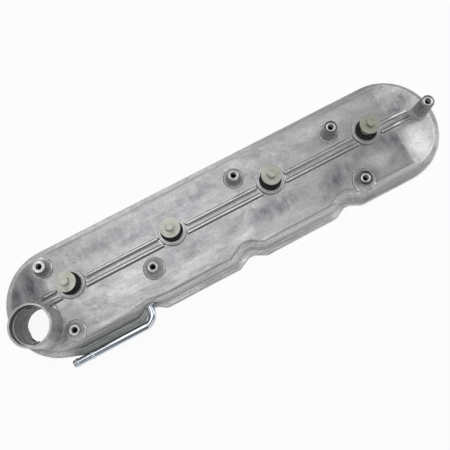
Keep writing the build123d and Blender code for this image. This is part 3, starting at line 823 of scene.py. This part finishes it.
thread_crest = 3.0
thread_depth = 0.6
bolt_tip = 0.5
shoulder_z = 14.5
shoulder_radius = 5.9
ring_z = 31.2
flange_z = 43.5
flange_top = 45.5
flange_radius = 10.2
hex_flat = 4.0
hex_top = 51.1
thread_step = 0.125
thread_rings = int((shoulder_z - bolt_tip) / thread_step)


def threaded(level):
    """Radius round the M6 thread at one height: it fades out at both ends, and the tip tapers."""
    fade = max(0.0, min(1.0, (level - bolt_tip) / 1.2, (shoulder_z - 0.6 - level) / 1.2))
    taper = 0.5 * max(0.0, bolt_tip + 1.0 - level)

    def radius(angle):
        phase = (level / thread_pitch - angle / (2 * math.pi)) % 1.0
        return thread_crest - thread_depth * abs(2 * phase - 1) * fade - taper
    return radius


def six_sided(flat, corner, turn):
    """Radius round a turned hexagon with this half width, its corners cut at this radius."""
    return lambda angle: min(corner, flat / math.cos((angle - turn) % (math.pi / 3) - math.pi / 6))


for number, x in enumerate(bolt_x, start=1):
    # The heads stand at four different turns, as they were last driven
    turn = math.radians(13.0 * number)
    levels = [bolt_tip + thread_step * step for step in range(thread_rings)]
    profile = [(0.6, bolt_tip)] + [(threaded(level), level) for level in levels]
    # Plain shoulder with one ring cut round it, just above the grommet, then the flange
    body = [(thread_crest, shoulder_z), (shoulder_radius, shoulder_z), (shoulder_radius, ring_z)]
    body += [(shoulder_radius - 0.7, ring_z + 0.35), (shoulder_radius - 0.7, ring_z + 1.05)]
    body += [(shoulder_radius, ring_z + 1.4), (shoulder_radius, flange_z), (flange_radius, flange_z)]
    body += [(flange_radius, flange_top - 0.1), (hex_flat + 1.2, flange_top - 0.02)]
    body += [(hex_flat + 0.9, flange_top)]
    profile += eased(body, 0.45, 4)
    # The hexagon flares at its foot and is chamfered at the top: half width, corner, height
    hexagon = [(hex_flat + 0.5, 4.95, flange_top + 0.25), (hex_flat + 0.02, 4.55, flange_top + 0.6)]
    hexagon += [(hex_flat, 4.5, hex_top - 0.9), (3.92, 4.2, hex_top - 0.35)]
    hexagon += [(3.6, 3.75, hex_top - 0.06), (3.3, 3.3, hex_top)]
    profile += [(six_sided(flat, corner, turn), height) for flat, corner, height in hexagon]
    # A shallow dish in its end is left by cold heading
    dish = [(3.1, hex_top), (2.5, hex_top), (2.2, hex_top - 0.5), (1.2, hex_top - 0.38)]
    profile += eased(dish + [(0.3, hex_top - 0.34)], 0.25, 3)
    mesh, rows = turned(profile, (x, 0.0), 72)
    mesh.faces.new(rows[0])
    mesh.faces.new(rows[-1])
    bmesh.ops.recalc_face_normals(mesh, faces=mesh.faces)
    piece = shown(f"plated_bolt_{number}", mesh, plating, f"captive_bolt_{number}")
    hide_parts(f"bolt_{number}")


# ---------------------------------------------------------------------------
# The breather tube. Thin steel tube pressed into a boss in the first notch up to its stop
# bead, bent once and led along the front wall; two rolled beads hold the hose.
# ---------------------------------------------------------------------------

# Bright zinc plating: nearly a mirror, faintly blue, with a 5 mm haze. Soft drawing lines run
# along the tube, 0.1 mm apart, drawn 1 mm apart.
zinc, shader, place = new_material("steel tube, bright zinc plated")
along = put(zinc, "ShaderNodeMapping", {"Scale": (0.12, 1.0, 1.0)}, {"Vector": place})
lines = put(
    zinc, "ShaderNodeTexNoise", {"Scale": 1100.0, "Detail": 3.0}, {"Vector": along},
).outputs["Fac"]
haze = put(
    zinc, "ShaderNodeTexNoise", {"Scale": 190.0, "Detail": 4.0}, {"Vector": place},
).outputs["Fac"]
tone = put(
    zinc, "ShaderNodeMix", {"data_type": "RGBA", "A": linear("#b4bfc9"), "B": linear("#e2e7ec")},
    {"Factor": haze},
).outputs["Result"]
# Painted shade: the bore and the corners beside the beads are painted dark
hidden = put(zinc, "ShaderNodeAmbientOcclusion", {"samples": 8, "Distance": 0.004}).outputs["AO"]
shade = put(zinc, "ShaderNodeMapRange", {"From Min": 0.85, "From Max": 0.45}, {"Value": hidden})
tone = put(
    zinc, "ShaderNodeMix", {"data_type": "RGBA", "B": linear("#202225")}, {"Factor": shade, "A": tone},
).outputs["Result"]
# Painted dark reflection: the side turned to the rail is painted near black
surface = put(zinc, "ShaderNodeNewGeometry").outputs["Normal"]
inward = put(zinc, "ShaderNodeSeparateXYZ", links={0: surface}).outputs["Y"]
film_and_painted_reflection = put(
    zinc, "ShaderNodeMapRange", {"From Min": 0.45, "From Max": 0.75, "To Max": 0.85}, {"Value": inward},
)
tone = put(
    zinc, "ShaderNodeMix", {"data_type": "RGBA", "B": linear("#23282c")}, {"Factor": film_and_painted_reflection, "A": tone},
).outputs["Result"]
dull = put(
    zinc, "ShaderNodeMapRange", {"From Min": 0.35, "From Max": 0.7, "To Min": 0.05, "To Max": 0.14},
    {"Value": haze},
)
relief = put(zinc, "ShaderNodeBump", {"Strength": 0.15, "Distance": 0.00008}, {"Height": lines})
feed(zinc, shader, {"Base Color": tone, "Roughness": dull, "Normal": relief})
shader.inputs["Metallic"].default_value = 1.0

tube_x = -110.0
tube_z = 14.5
tube_start_y = -43.6
tube_run_y = -71.2
tube_end_x = -199.5
tube_bend = 12.0
tube_outer = 3.75
tube_inner = 2.75
stop_y = -53.8
lip_radius = 0.25
lip_length = 0.5
station_step = 0.6
around = 40
first_leg = tube_start_y - tube_run_y - tube_bend
arc_length = tube_bend * math.pi / 2
whole = first_leg + arc_length + (tube_x - tube_bend - tube_end_x)


def tube_point(travel):
    """Centre and forward direction of the tube at this distance from its inner end."""
    if travel < first_leg:
        return Vector((tube_x, tube_start_y - travel, tube_z)), Vector((0, -1, 0))
    if travel < first_leg + arc_length:
        angle = (travel - first_leg) / tube_bend
        centre = Vector((tube_x - tube_bend, tube_run_y + tube_bend, tube_z))
        out = Vector((math.cos(angle), -math.sin(angle), 0))
        return centre + out * tube_bend, Vector((-math.sin(angle), -math.cos(angle), 0))
    done = travel - first_leg - arc_length
    return Vector((tube_x - tube_bend - done, tube_run_y, tube_z)), Vector((-1, 0, 0))


stations = [station_step * step for step in range(int(whole / station_step))] + [whole]
# The stop bead and two hose beads: place along the tube, half width and rise (mm)
beads = [(tube_start_y - stop_y, 0.75, 2.35), (whole - 20.0, 1.0, 0.78), (whole - 4.2, 1.0, 0.78)]
for centre, half, rise in beads:
    stations += [centre + half * share / 4 for share in range(-8, 9)]
stations = sorted(set(round(station, 3) for station in stations if station <= whole))
loops = []
for outward in (True, False):
    ordered = stations if outward else list(reversed(stations))
    for travel in ordered:
        centre, forward = tube_point(travel)
        sideways = forward.cross(Vector((0, 0, 1)))
        lip = lip_radius * max(0.0, 1.0 - (whole - travel) / lip_length) ** 2
        if outward:
            reach = tube_outer
            for bead, half, rise in beads:
                reach += rise * math.exp(-((travel - bead) / half) ** 4)
            reach -= lip
        else:
            reach = tube_inner + lip
        loops.append([
            (centre + (sideways * math.cos(angle) + Vector((0, 0, 1)) * math.sin(angle)) * reach) / 1000
            for angle in (2 * math.pi * index / around for index in range(around))
        ])
mesh = bmesh.new()
skin_over(mesh, loops, closed=True)
bmesh.ops.recalc_face_normals(mesh, faces=mesh.faces)
piece = shown("zinc_breather_tube", mesh, zinc)
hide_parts("breather_tube")


# ---------------------------------------------------------------------------
# The baffle tray and its eight screws, under the top. Pressed aluminium sheet with drain
# slots, held to the casting's pillars by zinc-plated pan-head screws.
# ---------------------------------------------------------------------------

# Mill-finish aluminium sheet: satin, with rolling lines all one way, 0.1 mm apart, drawn 1 mm
# apart, and a thin film of oil in 20 mm patches
sheet, shader, place = new_material("aluminium sheet, mill finish")
along = put(sheet, "ShaderNodeMapping", {"Scale": (0.03, 1.0, 1.0)}, {"Vector": place})
lines = put(
    sheet, "ShaderNodeTexNoise", {"Scale": 900.0, "Detail": 4.0}, {"Vector": along},
).outputs["Fac"]
# On the sheet this mask is only the oil film
film_and_painted_reflection = put(
    sheet, "ShaderNodeTexNoise", {"Scale": 45.0, "Detail": 4.0}, {"Vector": place},
).outputs["Fac"]
film_ramp = put(sheet, "ShaderNodeMapRange", {"From Min": 0.42, "From Max": 0.7}, {"Value": film_and_painted_reflection})
tone = put(
    sheet, "ShaderNodeMix", {"data_type": "RGBA", "A": linear("#b9b9b7"), "B": linear("#9d9484")},
    {"Factor": film_ramp},
).outputs["Result"]
dull = put(sheet, "ShaderNodeMapRange", {"To Min": 0.28, "To Max": 0.5}, {"Value": lines})
relief = put(sheet, "ShaderNodeBump", {"Strength": 0.25, "Distance": 0.0001}, {"Height": lines})
feed(sheet, shader, {"Base Color": tone, "Roughness": dull, "Normal": relief})
shader.inputs["Metallic"].default_value = 1.0
wear("baffle_tray", sheet)

# Zinc-plated steel: a slightly yellow bright grey with a 2 mm haze
screw_zinc, shader, place = new_material("steel screw, zinc plated")
haze = put(
    screw_zinc, "ShaderNodeTexNoise", {"Scale": 500.0, "Detail": 3.0}, {"Vector": place},
).outputs["Fac"]
tone = put(
    screw_zinc, "ShaderNodeMix", {"data_type": "RGBA", "A": linear("#a9a899"), "B": linear("#cfcec4")},
    {"Factor": haze},
).outputs["Result"]
dull = put(screw_zinc, "ShaderNodeMapRange", {"To Min": 0.22, "To Max": 0.42}, {"Value": haze})
feed(screw_zinc, shader, {"Base Color": tone, "Roughness": dull})
shader.inputs["Metallic"].default_value = 1.0
for number in range(1, 9):
    wear(f"baffle_screw_{number}", screw_zinc)


# ---------------------------------------------------------------------------
# The studio: a white table, a pale room, and soft boxes all round, the strongest of them
# overhead, to the right and behind. The camera looks down on the cover from its front left.
# ---------------------------------------------------------------------------

table_mesh = bmesh.new()
half_table = 4.0
table_drop = 0.0003
corners = [(-1, -1), (1, -1), (1, 1), (-1, 1)]
table_mesh.faces.new([
    table_mesh.verts.new((half_table * x, half_table * y, -table_drop)) for x, y in corners
])
table_data = bpy.data.meshes.new("white_table")
table_mesh.to_mesh(table_data)
table_mesh.free()
table = bpy.data.objects.new("white_table", table_data)
bpy.context.scene.collection.objects.link(table)

# White paper: seen as the white background itself, but still taking the cover's shadow
paper = bpy.data.materials.new("white paper")
paper.use_nodes = True
paper.node_tree.nodes.clear()
matt = put(paper, "ShaderNodeBsdfDiffuse", {"Color": linear("#f2f2f2")})
glow = put(paper, "ShaderNodeEmission", {"Strength": 1.0})
rays = put(paper, "ShaderNodeLightPath").outputs
seen = put(
    paper, "ShaderNodeMath", {"operation": "MAXIMUM"},
    {0: rays["Is Camera Ray"], 1: rays["Is Glossy Ray"]},
)
seen = put(paper, "ShaderNodeMath", {"operation": "MAXIMUM"}, {0: seen, 1: rays["Is Transmission Ray"]})
share = put(paper, "ShaderNodeMath", {"operation": "MULTIPLY", 1: 0.93}, {0: seen})
blend = put(paper, "ShaderNodeMixShader", links={0: share, 1: matt, 2: glow})
put(paper, "ShaderNodeOutputMaterial", links={"Surface": blend})
table_data.materials.append(paper)

# The room: white where the camera or a reflection meets the horizon, softer grey above, and
# brighter on the side of the large soft box
room = bpy.data.worlds.new("pale studio")
bpy.context.scene.world = room
room.use_nodes = True
room.node_tree.nodes.clear()
way = put(room, "ShaderNodeTexCoord").outputs["Generated"]
lit_side = put(
    room, "ShaderNodeVectorMath", {"operation": "DOT_PRODUCT", 1: (0.90, 0.20, 0.10)}, {0: way},
).outputs["Value"]
level = put(
    room, "ShaderNodeMapRange", {"From Min": -1.0, "From Max": 1.0, "To Min": 0.15, "To Max": 0.30},
    {"Value": lit_side},
)
rays = put(room, "ShaderNodeLightPath").outputs
upward = put(room, "ShaderNodeSeparateXYZ", links={0: way}).outputs["Z"]
horizon = put(room, "ShaderNodeMapRange", {"From Min": 0.25, "From Max": 0.05}, {"Value": upward})
mirrored = put(
    room, "ShaderNodeMath", {"operation": "MULTIPLY"}, {0: rays["Is Glossy Ray"], 1: horizon},
)
seen = put(room, "ShaderNodeMath", {"operation": "MAXIMUM"}, {0: rays["Is Camera Ray"], 1: mirrored})
seen = put(room, "ShaderNodeMath", {"operation": "MAXIMUM"}, {0: seen, 1: rays["Is Transmission Ray"]})
level = put(room, "ShaderNodeMix", {"data_type": "FLOAT", "B": 1.0}, {"Factor": seen, "A": level})
air = put(room, "ShaderNodeBackground", links={"Strength": level.outputs["Result"]})
put(room, "ShaderNodeOutputWorld", links={"Surface": air})

# Soft boxes: name, lean towards +X and towards +Y (degrees from straight up), distance and
# width (m), power (W)
soft_boxes = [
    ("right_soft_box", 57.0, -5.0, 1.3, 0.9, 3.4),
    ("overhead_soft_box", 2.0, 8.0, 1.6, 0.7, 3.7),
    ("left_overhead_soft_box", -18.0, 20.0, 1.5, 0.6, 1.8),
    ("left_soft_box", -52.0, 0.0, 1.3, 0.8, 1.2),
    ("back_soft_box", 0.0, 52.0, 1.3, 0.8, 3.4),
    ("front_soft_box", 24.0, -52.0, 1.3, 0.8, 1.7),
    ("left_front_soft_box", -42.0, -46.0, 1.3, 0.7, 0.9),
]
for name, lean_x, lean_y, distance, width, power in soft_boxes:
    lamp = bpy.data.lights.new(name, "AREA")
    lamp.shape = "SQUARE"
    lamp.size = width
    lamp.energy = power
    box = bpy.data.objects.new(name, lamp)
    aim = Vector((math.tan(math.radians(lean_x)), math.tan(math.radians(lean_y)), 1.0)).normalized()
    box.location = aim * distance
    box.rotation_mode = "QUATERNION"
    box.rotation_quaternion = aim.to_track_quat("Z", "Y")
    bpy.context.scene.collection.objects.link(box)

lens = bpy.data.cameras.new("camera")
lens.lens = 48.0
lens.sensor_width = 36.0
lens.clip_start = 0.01
camera = bpy.data.objects.new("camera", lens)
camera.location = (-0.054748, -0.125233, 0.612871)
camera.rotation_euler = (0.195394795, 0.0110600507, -0.486517682)
bpy.context.scene.collection.objects.link(camera)
bpy.context.scene.camera = camera
bpy.context.scene.view_settings.view_transform = "Standard"
